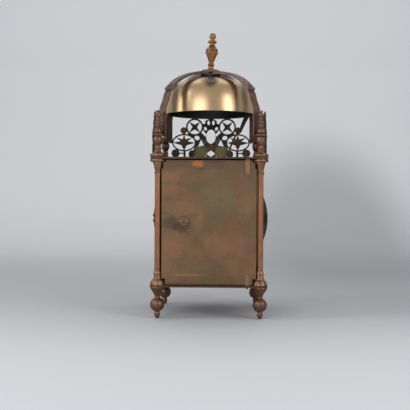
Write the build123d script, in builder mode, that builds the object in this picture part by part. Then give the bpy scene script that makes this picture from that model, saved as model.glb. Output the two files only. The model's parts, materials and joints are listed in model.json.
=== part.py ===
"""Lantern clock: posted case, bell on straps, two-train movement, doors and dial.

Millimetres. The origin is the centre of the footprint at floor level, +Z is up, the dial faces -Y and
+X is on the right of someone who faces the dial.
"""

from build123d import *
from math import cos, radians, sin, sqrt
import os

os.makedirs("parts", exist_ok=True)

# ---- clearances ------------------------------------------------------------------------------------
slip_gap = 0.1  # round a fixed stud or tenon
running_gap = 0.05  # round a turning pivot
end_shake = 0.2  # at each end of an arbor
panel_gap = 0.4  # between a door and the pillars

# ---- case ------------------------------------------------------------------------------------------
pillar_offset = 68.5  # from the centre to a pillar's axis, along X and along Y
plate_margin = 10.0  # from a pillar's axis to the plates' edges
plate_thickness = 2.5
foot_height = 42.5
pillar_height = 168.0
pillar_base_radius = 9.8
pillar_base_height = 6.5
pillar_ring_radius = 5.3
pillar_shaft_radius = 4.1
pillar_flare_radius = 7.0
pillar_flare_height = 13.4
capital_radius = 10.5
capital_height = 4.1
stud_radius = 2.5
stud_grip = 8.0

case_floor = foot_height + plate_thickness
case_roof = case_floor + pillar_height
deck = case_roof + plate_thickness
plate_half = pillar_offset + plate_margin

# ---- finials, bell and strap -----------------------------------------------------------------------
urn_height = 28.5
eye_stud_radius = 2.0
eye_radius = 8.0
strap_width = 12.5
leg_thickness = 1.8
arm_thickness = 4.0
arm_crown_height = 122.4  # top of the cross above the deck
arm_tip_radius = 82.0
arm_tip_height = 92.3
lap_length = 15.0
rivet_radius = 1.8
rivet_head_radius = 3.0
rivet_head_height = 1.0
upper_finial_height = 31.8
bell_radius = 62.9
bell_height = 51.5
bell_wall = 3.0
bell_gap = 3.9  # between the bell's crown and the cross
boss_radius = 13.8
boss_height = 3.6
boss_lobes = 12
boss_flute_radius = 2.2
boss_seat_radius = 9.8
boss_foot_radius = 11.0
boss_swell = 0.8  # of its rounding beyond a straight cone
boss_swell_level = 0.6  # of its rise
finial_foot_radius = 9.0
top_finial_height = 53.3
finial_bed = 0.6  # of the finial's foot that is cut away level
finial_lean = 3.2  # degrees, towards -X
bell_stud_radius = 3.0
bell_nut_radius = 7.0
bell_nut_height = 4.0

eye_level = deck + urn_height
arm_top = deck + arm_crown_height
bell_crown = arm_top - arm_thickness - bell_gap
bell_mouth = bell_crown - bell_height
boss_top = arm_top + boss_height

# ---- frets -----------------------------------------------------------------------------------------
fret_thickness = 1.8
fret_inset = 1.5  # from the plate's edge
fret_tab = 8.0
fret_screw_radius = 1.5
fret_screw_offset = 28.8
fret_foot_width = 115.0
fret_foot_height = 6.1

# ---- doors and dial --------------------------------------------------------------------------------
panel_thickness = 1.5
panel_inset = 6.5  # from the plate's edge to a panel's outer face
door_floor_gap = 0.8
door_roof_gap = 1.6
hinge_offset = 51.0
hinge_pin_radius = 1.5
hinge_strap_width = 6.0
hinge_strap_thickness = 1.2
lower_hinge_reach = 11.8
upper_hinge_reach = 18.6
hinge_pin_tail = 2.0
hinge_rivet_height = 0.8
knob_level = 86.0  # above the case floor
rear_knob_offset = 33.0
side_knob_offset = 30.0
rosette_radius = 6.7
rosette_thickness = 1.2
knob_reach = 11.5
knob_lobe_radius = 2.9
knob_lobe_offset = 3.9
knob_stem_radius = 1.5
knob_wing_half = 1.4  # half of the thumb piece's thickness
knob_neck_share = 0.8  # of a lobe's width
chapter_radius = 87.0
chapter_width = 25.0
chapter_thickness = 2.0
chapter_standoff = 10.0
dial_foot_radius = 2.5
dial_pin_radius = 1.5
hand_length = 58.0
hand_thickness = 1.2
hand_standoff = 1.0
hour_arbor_radius = 3.0

panel_face = plate_half - panel_inset  # outer faces of the doors and of the dial plate
dial_front = panel_face + chapter_standoff + chapter_thickness

# ---- movement --------------------------------------------------------------------------------------
bar_width = 22.0
bar_thickness = 3.0
tenon_width = 12.0
front_bar_back = -56.5
middle_bar_back = -4.5
rear_bar_back = 49.0
great_level = 39.0  # of both great arbors above the case floor
great_teeth, great_module = 60, 1.0
second_teeth, second_module = 54, 0.9
pinion_leaves = 8
report_leaves, dial_teeth, dial_module = 12, 48, 1.5
escape_radius = 17.0
escape_teeth = 30
hoop_teeth, hoop_module = 48, 0.8
warning_teeth, warning_module = 42, 0.6
fly_leaves = 7
fly_radius = 12.0
count_teeth, count_module = 48, 1.0
lifting_pins = 13
lifting_pin_circle = 24.0
arbor_radius = 2.5
pivot_radius = 1.5
fine_pivot_radius = 1.0
wheel_thickness = 2.0
great_wheel_thickness = 3.0
pulley_radius = 13.0
pulley_rim_radius = 17.0
pulley_width = 12.0
pulley_rim_width = 2.0
going_pulley_standoff = 10.5
strike_pulley_standoff = 5.0
rope_hole_radius = 5.0
pendulum_length = 90.0
bob_radius = 14.0
bob_thickness = 6.0
pendulum_standoff = 8.0
hammer_x, hammer_level = -26.0, 105.0
detent_x, detent_level = 26.0, 83.0
lever_width = 2.6
hammer_head_thickness = 8.0
hammer_standoff = 4.5  # from the middle bar to the hammer's stem
hammer_slot_length = 17.0
hammer_slot_shift = 5.0
hammer_slot_margin = 3.4
count_stud_radius = 2.0
count_stud_length = 4.2

great_z = case_floor + great_level
second_z = great_z + (great_teeth + pinion_leaves) * great_module / 2
escape_z = second_z + (second_teeth + pinion_leaves) * second_module / 2
anchor_z = escape_z + escape_radius * sqrt(2)
dial_z = great_z + (report_leaves + dial_teeth) * dial_module / 2
warning_z = second_z + (hoop_teeth + pinion_leaves) * hoop_module / 2
fly_z = warning_z + (warning_teeth + fly_leaves) * warning_module / 2
count_z = great_z + (count_teeth + pinion_leaves) * count_module / 2
hammer_z = case_floor + hammer_level
detent_z = case_floor + detent_level
front_bar_front = front_bar_back - bar_thickness
middle_bar_front = middle_bar_back - bar_thickness
rear_bar_front = rear_bar_back - bar_thickness

corners = {
    "front_left": (-pillar_offset, -pillar_offset),
    "front_right": (pillar_offset, -pillar_offset),
    "rear_left": (-pillar_offset, pillar_offset),
    "rear_right": (pillar_offset, pillar_offset),
}
walls = {
    "front": Plane((0, -panel_face, 0), x_dir=(1, 0, 0), z_dir=(0, -1, 0)),
    "rear": Plane((0, panel_face, 0), x_dir=(-1, 0, 0), z_dir=(0, 1, 0)),
    "right": Plane((panel_face, 0, 0), x_dir=(0, 1, 0), z_dir=(1, 0, 0)),
    "left": Plane((-panel_face, 0, 0), x_dir=(0, -1, 0), z_dir=(-1, 0, 0)),
}
hinge_sides = {"rear": 1, "right": 1, "left": -1}


def finish(piece, name):
    """Label a finished piece and write it."""
    piece.part.label = name
    export_step(piece.part, f"parts/{name}.step")


def upright(y, x=0.0, z=0.0):
    """Plane that faces the front, with its own x along X and its own y along Z."""
    return Plane((x, y, z), x_dir=(1, 0, 0), z_dir=(0, -1, 0))


def radial(angle):
    """Upright plane through the clock's axis, with its own x outwards at this angle in degrees."""
    across, along = sin(radians(angle)), cos(radians(angle))
    return Plane((0, 0, 0), x_dir=(along, across, 0), z_dir=(across, -along, 0))


def turned(x, y, bottom, height, start_radius, mouldings, mode=Mode.ADD):
    """Turn a piece about the upright axis at x, y.

    Each moulding is (end radius, height, radius halfway up); None halfway up means straight. The
    mouldings' heights are stretched together to the height of the whole piece.
    """
    stretch = height / sum(moulding[1] for moulding in mouldings)
    level = bottom
    with BuildSketch(upright(y, x)) as section:
        with BuildLine():
            Line((0, bottom), (start_radius, bottom))
            corner = (start_radius, bottom)
            for end_radius, rise, belly in mouldings:
                level += rise * stretch
                if belly is None:
                    Line(corner, (end_radius, level))
                else:
                    ThreePointArc(corner, (belly, level - rise * stretch / 2), (end_radius, level))
                corner = (end_radius, level)
            Polyline(corner, (0, level), (0, bottom))
        make_face()
    revolve(section.sketch, Axis((x, y, 0), (0, 0, 1)), mode=mode)


def post(radius, bottom, top, x, y, mode=Mode.ADD):
    """Add or cut an upright cylinder."""
    with BuildSketch(Plane.XY.offset(bottom)) as outline:
        with Locations((x, y)):
            Circle(radius)
    extrude(outline.sketch, amount=top - bottom, mode=mode)


def disc(radius, front, back, z, x=0.0, mode=Mode.ADD):
    """Add or cut a cylinder whose axis runs from front to back."""
    with BuildSketch(upright(back, x, z)) as outline:
        Circle(radius)
    extrude(outline.sketch, amount=back - front, mode=mode)


def slab(points, front, back, mode=Mode.ADD):
    """Add or cut a flat piece that faces the front, from its outline as (X, Z) points."""
    with BuildSketch(upright(back)) as outline:
        with BuildLine():
            Polyline(points, close=True)
        make_face()
    extrude(outline.sketch, amount=back - front, mode=mode)


def toothed_disc(teeth, module, front, back, z, tooth_up):
    """Add a toothed wheel or pinion; it has a tooth straight up, or a space straight down."""
    step = 360 / teeth
    first = 90 if tooth_up else -90 + step / 2
    pitch_radius = teeth * module / 2
    tip, root = pitch_radius + 0.7 * module, pitch_radius - 1.2 * module
    rising = ((root, -0.32), (pitch_radius, -0.32), (tip, -0.14))
    flank = (*rising, *((radius, -share) for radius, share in reversed(rising)))
    points = []
    for tooth in range(teeth):
        for radius, share in flank:
            angle = radians(first + (tooth + share / 2) * step)
            points.append((radius * cos(angle), z + radius * sin(angle)))
    slab(points, front, back)


def crossings(outer, inner, front, back, z):
    """Cut four windows in a wheel, which leave a cross of spokes."""
    with BuildSketch(upright(back, 0, z)) as windows:
        Circle(outer)
        Circle(inner, mode=Mode.SUBTRACT)
        Rectangle(outer / 5, 2 * outer, mode=Mode.SUBTRACT)
        Rectangle(2 * outer, outer / 5, mode=Mode.SUBTRACT)
    extrude(windows.sketch, amount=back - front, mode=Mode.SUBTRACT)


def arbor(front_bar_face, back_bar_face, z, pivot, x=0.0):
    """Add an arbor between the facing sides of two bars, with a pivot in each bar."""
    disc(arbor_radius, front_bar_face + end_shake, back_bar_face - end_shake, z, x)
    disc(pivot, front_bar_face - bar_thickness, back_bar_face + bar_thickness, z, x)


# ---- plates, feet and pillars ----------------------------------------------------------------------
def plate(bottom):
    """Add a plate with the holes for the pillars, the bars' tenons and the doors' pins."""
    with BuildSketch(Plane.XY.offset(bottom)) as outline:
        RectangleRounded(2 * plate_half, 2 * plate_half, plate_margin)
        with Locations(*corners.values()):
            Circle(stud_radius + slip_gap, mode=Mode.SUBTRACT)
        for back in (front_bar_back, middle_bar_back, rear_bar_back):
            with Locations((0, back - bar_thickness / 2)):
                Rectangle(tenon_width + 2 * slip_gap, bar_thickness + 2 * slip_gap, mode=Mode.SUBTRACT)
        for wall, side in hinge_sides.items():
            pin = walls[wall].origin + walls[wall].x_dir * hinge_offset * side
            with Locations((pin.X, pin.Y)):
                Circle(hinge_pin_radius + running_gap, mode=Mode.SUBTRACT)
    extrude(outline.sketch, amount=plate_thickness)


going_pulley_front = front_bar_back + going_pulley_standoff
going_pulley = (going_pulley_front, going_pulley_front + pulley_width)
strike_pulley_back = rear_bar_front - strike_pulley_standoff
strike_pulley = (strike_pulley_back - pulley_width, strike_pulley_back)

with BuildPart() as bottom_plate:
    plate(foot_height)
    with BuildSketch(Plane.XY.offset(foot_height)) as rope_holes:
        for front, back in (going_pulley, strike_pulley):
            with Locations((-pulley_radius, (front + back) / 2), (pulley_radius, (front + back) / 2)):
                Circle(rope_hole_radius)
    extrude(rope_holes.sketch, amount=plate_thickness, mode=Mode.SUBTRACT)
finish(bottom_plate, "bottom_plate")

hammer_plane = middle_bar_back + hammer_standoff
with BuildPart() as top_plate:
    plate(case_roof)
    with BuildSketch(Plane.XY.offset(case_roof)) as hammer_slot:
        with Locations((hammer_x + hammer_slot_shift, hammer_plane)):
            Rectangle(hammer_slot_length, lever_width + hammer_slot_margin)
    extrude(hammer_slot.sketch, amount=plate_thickness, mode=Mode.SUBTRACT)
    for wall in ("front", "right", "left"):
        for side in (-1, 1):
            across = walls[wall].x_dir * fret_screw_offset * side
            seat = walls[wall].z_dir * (plate_half - fret_inset - fret_tab / 2) + across
            post(fret_screw_radius, case_roof, deck, seat.X, seat.Y, Mode.SUBTRACT)
finish(top_plate, "top_plate")

foot_mouldings = (
    (3.2, 9.0, 3.8),
    (4.1, 17.7, 9.6),
    (4.1, 3.8, 3.6),
    (9.3, 8.1, 6.4),
    (8.7, 0.8, None),
    (9.6, 0.0, None),
    (9.6, 2.1, 9.9),
)
shaft_foot = (
    (7.2, pillar_base_height, 9.1),
    (5.0, 2.5, 5.7),
    (5.0, 3.0, 4.8),
    (4.6, 1.0, None),
    (4.6, 4.2, pillar_ring_radius),
    (pillar_shaft_radius, 1.3, None),
)
shaft_head = (
    (3.9, 2.0, 4.9),
    (pillar_flare_radius, pillar_flare_height, 5.1),
    (9.0, 0.0, None),
    (9.0, capital_height, capital_radius),
)
shaft_length = pillar_height - sum(m[1] for m in shaft_foot) - sum(m[1] for m in shaft_head)
pillar_mouldings = (*shaft_foot, (3.9, shaft_length, None), *shaft_head)
urn_mouldings = (
    (9.0, 4.5, capital_radius),
    (7.4, 0.0, None),
    (3.9, 4.6, 4.9),
    (3.9, 1.2, None),
    (3.9, 1.7, 4.9),
    (3.7, 1.8, None),
    (5.0, 3.6, 3.9),
    (4.8, 10.4, 6.1),
    (4.2, 0.0, None),
    (4.2, 0.7, None),
)
upper_finial_mouldings = (
    (3.4, 8.2, 5.3),
    (3.2, 1.6, 2.9),
    (3.2, 2.6, 4.9),
    (2.6, 1.8, 2.6),
    (2.6, 3.6, 4.0),
    (2.1, 2.4, 2.0),
    (2.1, 1.6, 3.2),
    (2.1, 1.4, 1.9),
    (1.8, 5.2, 3.9),
    (1.7, 0.8, None),
    (2.2, 0.0, None),
    (1.6, 2.6, 2.9),
)
for corner, (x, y) in corners.items():
    with BuildPart() as foot:
        turned(x, y, 0, foot_height, 1.4, foot_mouldings)
        post(stud_radius, foot_height - stud_grip, foot_height, x, y, Mode.SUBTRACT)
    finish(foot, f"foot_{corner}")

    with BuildPart() as pillar:
        turned(x, y, case_floor, pillar_height, pillar_base_radius, pillar_mouldings)
        post(stud_radius, foot_height - stud_grip, case_floor, x, y)
        post(stud_radius, case_roof, deck + stud_grip, x, y)
    finish(pillar, f"pillar_{corner}")

    with BuildPart() as urn:
        turned(x, y, deck, urn_height, 9.0, urn_mouldings)
        post(stud_radius, deck, deck + stud_grip, x, y, Mode.SUBTRACT)
        post(eye_stud_radius, eye_level, eye_level + leg_thickness + stud_grip, x, y)
    finish(urn, f"finial_urn_{corner}")

    finial_seat = eye_level + leg_thickness
    with BuildPart() as upper_finial:
        turned(x, y, finial_seat, upper_finial_height, 4.2, upper_finial_mouldings)
        post(eye_stud_radius, finial_seat, finial_seat + stud_grip, x, y, Mode.SUBTRACT)
    finish(upper_finial, f"upper_finial_{corner}")


# ---- bell strap ------------------------------------------------------------------------------------
def parallel(curve, distance):
    """Curve that follows another on its inner side at this distance."""
    marks = (0, 0.2, 0.4, 0.6, 0.8, 1)
    inward = [(curve % mark).rotate(Axis.Z, -90) * distance for mark in marks]
    points = [curve @ mark + step for mark, step in zip(marks, inward)]
    return Spline(points, tangents=(curve % 0, curve % 1))


lap_slope = Vector(0.75, -0.661)
lap_inward = lap_slope.rotate(Axis.Z, -90)
arm_tip = Vector(arm_tip_radius, deck + arm_tip_height)
lap_start = arm_tip - lap_slope * lap_length
strap_eye_rho = pillar_offset * sqrt(2)
leg_line = strap_eye_rho - eye_radius + 0.9


def rivet(angle, radius, start, end, mode):
    """Add or cut a pin square to the lap between an arm and its leg; levels are measured outwards."""
    middle = arm_tip - lap_slope * lap_length / 2
    with BuildSketch(radial(angle)) as half_section:
        with BuildLine():
            near, far = middle - lap_inward * start, middle - lap_inward * end
            side = lap_slope * radius
            Polyline(near, near + side, far + side, far, close=True)
        make_face()
    plane = radial(angle)
    foot = plane.from_local_coords(middle)
    pin = Axis(foot, plane.from_local_coords(middle - lap_inward) - foot)
    revolve(half_section.sketch, pin, mode=mode)


def crossing_strap(angle):
    """Strap with two drooping arms and rounded tips."""
    with BuildPart() as strap:
        with BuildSketch(radial(angle)) as strap_side:
            with BuildLine():
                outer = Spline(
                    (boss_radius, arm_top),
                    (30, arm_top - 1.7),
                    (49, arm_top - 7.5),
                    lap_start,
                    tangents=((1, 0), lap_slope),
                )
                inner = parallel(outer, arm_thickness)
                Polyline(outer @ 1, arm_tip, arm_tip + lap_inward * arm_thickness, inner @ 1)
                Line((0, arm_top), outer @ 0)
                Line((0, arm_top - arm_thickness), inner @ 0)
                mirror(about=Plane.YZ)
            make_face()
        extrude(strap_side.sketch, amount=strap_width / 2, both=True)
        tip_level = (arm_tip + lap_inward * arm_thickness / 2).Y
        tip_corners = strap.edges().filter_by(
            lambda edge: abs(edge.length - arm_thickness) < 0.01 and abs(edge.center().Z - tip_level) < 0.1
        )
        fillet(tip_corners, strap_width / 4.5)
    return strap.part


crossing_straps = [crossing_strap(angle) for angle in (45, 135)]
with BuildPart() as strap_cross:
    add(crossing_straps)
    for angle in (45, 135, 225, 315):
        rivet(angle, rivet_radius, -arm_thickness - leg_thickness, 0, Mode.SUBTRACT)
    post(bell_stud_radius, bell_crown, arm_top + 1, 0, 0, Mode.SUBTRACT)
finish(strap_cross, "strap_cross")

corner_angles = {"rear_right": 45, "rear_left": 135, "front_left": 225, "front_right": 315}
for corner, angle in corner_angles.items():
    x, y = corners[corner]
    with BuildPart() as strap_leg:
        with BuildSketch(radial(angle)) as leg_side:
            with BuildLine():
                lap_foot = arm_tip + lap_inward * arm_thickness
                lap_head = lap_foot - lap_slope * lap_length
                shoulder = Spline(
                    lap_foot,
                    (lap_foot.X + 3.6, lap_foot.Y - 8.5),
                    (leg_line - 2.2, lap_foot.Y - 19.5),
                    (leg_line, lap_foot.Y - 32),
                    tangents=(lap_slope, (0, -1)),
                )
                inner = parallel(shoulder, leg_thickness)
                Polyline(
                    shoulder @ 1,
                    (leg_line, eye_level),
                    (leg_line - leg_thickness, eye_level),
                    inner @ 1,
                )
                Polyline(
                    inner @ 0,
                    lap_head + lap_inward * leg_thickness,
                    lap_head,
                    shoulder @ 0,
                )
            make_face()
        extrude(leg_side.sketch, amount=strap_width / 2, both=True)
        post(eye_radius, eye_level, eye_level + leg_thickness, x, y)
        post(eye_stud_radius, eye_level, eye_level + leg_thickness, x, y, Mode.SUBTRACT)
        rivet(angle, rivet_radius, -arm_thickness - leg_thickness, 0, Mode.SUBTRACT)
    finish(strap_leg, f"strap_leg_{corner}")

with BuildPart() as strap_rivets:
    for angle in corner_angles.values():
        rivet(angle, rivet_radius, -arm_thickness - leg_thickness, 0, Mode.ADD)
        rivet(angle, rivet_head_radius, 0, rivet_head_height, Mode.ADD)
finish(strap_rivets, "strap_rivets")


def boss_half(rim_level, crest_level, crest_radius):
    """Add half of the lobed boss, which narrows from the rim's level to the crest's level."""
    rise = crest_level - rim_level
    with BuildSketch(upright(0)) as dome:
        with BuildLine():
            rim, crest = (boss_radius, rim_level), (crest_radius, crest_level)
            belly = (boss_radius * 2 + crest_radius) / 3 + boss_swell
            ThreePointArc(rim, (belly, rim_level + rise * boss_swell_level), crest)
            Polyline(crest, (bell_stud_radius, crest_level), (bell_stud_radius, rim_level), rim)
        make_face()
    revolve(dome.sketch, Axis.Z)
    with BuildSketch(Plane.XY.offset(rim_level)) as flutes:
        with PolarLocations(boss_radius + boss_flute_radius / 2, boss_lobes):
            Circle(boss_flute_radius)
    extrude(flutes.sketch, amount=rise, mode=Mode.SUBTRACT)


with BuildPart() as strap_boss:
    boss_half(arm_top, boss_top, boss_seat_radius)
finish(strap_boss, "strap_boss")

with BuildPart() as bell:
    with BuildSketch(upright(0)) as bell_section:
        with BuildLine():
            outside = Spline(
                (0, bell_crown),
                (bell_radius * 0.3, bell_crown - bell_height * 0.016),
                (bell_radius * 0.57, bell_crown - bell_height * 0.075),
                (bell_radius * 0.865, bell_crown - bell_height * 0.34),
                (bell_radius * 0.955, bell_crown - bell_height * 0.63),
                (bell_radius, bell_mouth),
                tangents=((1, 0), (0.1, -1)),
            )
            inside = parallel(outside, bell_wall)
            Line(outside @ 1, inside @ 1)
            Line(outside @ 0, inside @ 0)
        make_face()
    revolve(bell_section.sketch, Axis.Z)
    post(bell_stud_radius, bell_crown - 2 * bell_wall, bell_crown + 1, 0, 0, Mode.SUBTRACT)
finish(bell, "bell")

nut_top = bell_crown - bell_wall - slip_gap * 2.5
with BuildPart() as bell_nut_and_washer:
    with BuildSketch(Plane.XY.offset(nut_top - bell_nut_height)) as nut:
        RegularPolygon(bell_nut_radius, 4)
        Circle(bell_stud_radius, mode=Mode.SUBTRACT)
    extrude(nut.sketch, amount=bell_nut_height)
    boss_half(arm_top - arm_thickness, bell_crown, boss_foot_radius)
finish(bell_nut_and_washer, "bell_nut_and_washer")

top_finial_mouldings = (
    (3.9, 3.4, 5.4),
    (4.2, 2.9, 3.7),
    (3.5, 0.5, None),
    (3.7, 3.2, 4.7),
    (3.8, 2.6, 3.5),
    (8.2, 11.4, 5.9),
    (8.5, 0.0, None),
    (8.3, 2.8, 9.0),
    (7.8, 0.0, None),
    (7.8, 1.2, 7.6),
    (8.1, 0.0, None),
    (7.9, 2.8, 8.9),
    (3.8, 6.0, 5.3),
    (3.6, 2.7, None),
    (4.2, 0.0, None),
    (4.4, 3.2, 6.4),
    (3.1, 2.6, 3.2),
    (0.5, 8.5, 4.7),
)
with BuildPart() as finial_blank:
    turned(0, 0, boss_top - finial_bed, top_finial_height, finial_foot_radius, top_finial_mouldings)
with BuildPart() as top_finial:
    add(finial_blank.part.rotate(Axis((0, 0, arm_top), (0, 1, 0)), -finial_lean))
    split(bisect_by=Plane.XY.offset(boss_top))
    post(bell_stud_radius, nut_top - bell_nut_height - 1, boss_top, 0, 0)
finish(top_finial, "top_finial")


# ---- frets -----------------------------------------------------------------------------------------
fret_ovals = (  # across, up, half width and half height
    (53.6, 12.3, 6.1, 6.1),
    (28.8, 11.0, 5.0, 6.0),
    (16.2, 14.5, 11.0, 9.5),
    (19.0, 31.0, 11.5, 13.0),
    (31.0, 40.5, 4.5, 5.0),
    (41.2, 46.8, 5.1, 5.0),
)
fret_bars = (  # across, up, width and height
    (39.9, 11.5, 3.4, 16.0),
    (53.6, 6.0, 5.0, 4.0),
    (45.0, 12.3, 8.0, 1.8),
    (60.6, 28.4, 6.0, 1.8),
    (41.2, 42.0, 4.0, 4.0),
)
fret_piercings = (  # across, up, half width, half height and turn
    (21.0, 35.6, 4.0, 3.2, 20.0),
    (10.2, 58.6, 1.7, 1.7, 0.0),
    (8.3, 49.5, 2.0, 3.0, -30.0),
    (3.6, 58.4, 2.0, 3.4, 0.0),
)
fret_wing = ((15.0, 33.0), (19.3, 22.6), (10.6, 24.4))
fret_ring = (24.7, 52.0, 13.2, 10.7)  # across, up, outer and inner radius
fret_wheel = (40.7, 28.4, 18.2, 13.2)  # across, up, half width and half height
fret_wheel_rim = 2.1


def star(reach, rise, tips, hollow):
    """Draw a star whose tips lie on an ellipse at these angles, with its hollows at one radius."""
    points = []
    for tip, following in zip(tips, (*tips[1:], tips[0] + 360)):
        between = radians((tip + following) / 2)
        points.append((reach * cos(radians(tip)), rise * sin(radians(tip))))
        points.append((hollow * cos(between), hollow * sin(between)))
    Polygon(*points, align=None)


def fret_half(side):
    """Draw one half of the pierced fret beside its middle line; side is 1 or -1."""
    for across, up, half_width, half_height in fret_ovals:
        with Locations((side * across, up)):
            Ellipse(half_width, half_height)
    for across, up, width, height in fret_bars:
        with Locations((side * across, up)):
            Rectangle(width, height)
    across, up, reach, rise = fret_wheel
    with Locations((side * across, up)):
        Ellipse(reach, rise)
        Ellipse(reach - fret_wheel_rim, rise - fret_wheel_rim, mode=Mode.SUBTRACT)
        star(reach - fret_wheel_rim / 2, rise - fret_wheel_rim / 2, (0, 42, 90, 138, 180, 270), 5.6)
    across, up, outer, inner = fret_ring
    with Locations((side * across, up)):
        Circle(outer)
        Circle(inner, mode=Mode.SUBTRACT)
        star((outer + inner) / 2, (outer + inner) / 2, (45, 135, 225, 315), 3.6)


def fret_holes(side):
    """Cut one half's small piercings."""
    for across, up, half_width, half_height, turn in fret_piercings:
        with Locations((side * across, up)):
            Ellipse(half_width, half_height, rotation=turn * side, mode=Mode.SUBTRACT)
    Polygon(*[(side * across, up) for across, up in fret_wing], align=None, mode=Mode.SUBTRACT)


fret_plane = plate_half - fret_inset
for wall in ("front", "right", "left"):
    facing = walls[wall]
    stand = facing.z_dir * (fret_plane - fret_thickness)
    fret_face = Plane((stand.X, stand.Y, deck), x_dir=facing.x_dir, z_dir=facing.z_dir)
    with BuildPart() as fret:
        with BuildSketch(fret_face) as pattern:
            with Locations((0, fret_foot_height / 2)):
                Rectangle(fret_foot_width, fret_foot_height)
            with Locations((0, 24)):
                Ellipse(11, 22)
            with Locations((0, 52)):
                Circle(12.5)
            for side in (-1, 1):
                fret_half(side)
            for side in (-1, 1):
                fret_holes(side)
            with Locations((0, 37.6)):
                Ellipse(7.2, 10.6, mode=Mode.SUBTRACT)
            with Locations((0, 11.8)):
                Polygon((6.6, 0), (0, 5.0), (-6.6, 0), (0, -5.0), mode=Mode.SUBTRACT)
        extrude(pattern.sketch, amount=fret_thickness)
        for side in (-1, 1):
            seat = facing.z_dir * (fret_plane - fret_tab / 2) + facing.x_dir * fret_screw_offset * side
            with BuildSketch(Plane((seat.X, seat.Y, deck), x_dir=facing.x_dir, z_dir=(0, 0, 1))) as tab:
                Rectangle(fret_tab, fret_tab)
            extrude(tab.sketch, amount=fret_thickness)
            post(fret_screw_radius, deck, deck + fret_thickness, seat.X, seat.Y, Mode.SUBTRACT)
    finish(fret, f"fret_{wall}")

with BuildPart() as fret_screws:
    for wall in ("front", "right", "left"):
        for side in (-1, 1):
            across = walls[wall].x_dir * fret_screw_offset * side
            seat = walls[wall].z_dir * (fret_plane - fret_tab / 2) + across
            head_foot = deck + fret_thickness
            post(fret_screw_radius, case_roof, head_foot, seat.X, seat.Y)
            post(1.4 * fret_screw_radius, head_foot, head_foot + fret_screw_radius, seat.X, seat.Y)
finish(fret_screws, "fret_screws")


# ---- panels: doors and dial plate ------------------------------------------------------------------
def panel(wall, bottom, top):
    """Add a sheet that fills a side of the case, stepped round the pillars' mouldings."""
    narrow = pillar_offset - capital_radius - panel_gap
    foot_width = pillar_offset - pillar_base_radius - panel_gap
    head_width = pillar_offset - pillar_flare_radius - panel_gap
    full_width = pillar_offset - pillar_ring_radius - panel_gap / 2
    foot_step = case_floor + pillar_base_height + 2
    head_step = case_roof - capital_height - pillar_flare_height * 2 / 3
    crown_step = case_roof - capital_height - 0.6
    half = (
        (0, bottom),
        (foot_width, bottom),
        (foot_width, foot_step),
        (full_width, foot_step),
        (full_width, head_step),
        (head_width, head_step),
        (head_width, crown_step),
        (narrow, crown_step),
        (narrow, top),
        (0, top),
    )
    with BuildSketch(walls[wall].offset(-panel_thickness)) as outline:
        with BuildLine():
            Polyline(half)
            mirror(about=Plane.YZ)
        make_face()
    extrude(outline.sketch, amount=panel_thickness)


def strap_hinge(wall, inner_end, outer_end):
    """Add a hinge strap with its pin; inner_end is the rounded end that is riveted to the door."""
    face = walls[wall]
    across = hinge_offset * hinge_sides[wall]
    middle, length = (inner_end + outer_end) / 2, abs(outer_end - inner_end)
    with BuildSketch(face) as strap:
        with Locations((across, middle)):
            Rectangle(hinge_strap_width, length)
        with Locations((across, inner_end)):
            Circle(hinge_strap_width / 2)
    extrude(strap.sketch, amount=hinge_strap_thickness)
    with BuildSketch(face.offset(hinge_strap_thickness)) as rivet_head:
        with Locations((across, inner_end)):
            Circle(hinge_strap_width / 3)
    extrude(rivet_head.sketch, amount=hinge_rivet_height)


def hinge_pin(wall, start, end):
    """Add a hinge pin about the hinge line."""
    line = walls[wall].origin + walls[wall].x_dir * hinge_offset * hinge_sides[wall]
    post(hinge_pin_radius, start, end, line.X, line.Y)


def wing_knob(wall, across, upright_lobes):
    """Add a rosette, a winged thumb piece and the stem that is riveted over inside the door."""
    face = walls[wall]
    centre = face.origin + face.x_dir * across + Vector(0, 0, case_floor + knob_level)
    seat = Plane(centre, x_dir=face.x_dir, z_dir=face.z_dir)
    with BuildSketch(seat) as rosette:
        Circle(rosette_radius)
    extrude(rosette.sketch, amount=rosette_thickness)
    with BuildSketch(seat.offset(-panel_thickness)) as stem:
        Circle(knob_stem_radius)
    extrude(stem.sketch, amount=panel_thickness)
    with BuildSketch(seat.offset(-panel_thickness)) as burr:
        Circle(2 * knob_stem_radius)
    extrude(burr.sketch, amount=-1)
    lobes = face.y_dir if upright_lobes else face.x_dir
    lobe_level = knob_reach - knob_lobe_radius
    with BuildSketch(Plane(centre, x_dir=lobes, z_dir=lobes.cross(face.z_dir))) as wings:
        with Locations((0, lobe_level / 2)):
            Rectangle(2 * knob_lobe_radius * knob_neck_share, lobe_level)
        with Locations((0, lobe_level - knob_lobe_radius / 2)):
            Rectangle(2 * knob_lobe_offset, knob_lobe_radius)
        with Locations((-knob_lobe_offset, lobe_level), (knob_lobe_offset, lobe_level)):
            Circle(knob_lobe_radius)
    extrude(wings.sketch, amount=knob_wing_half, both=True)


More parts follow.
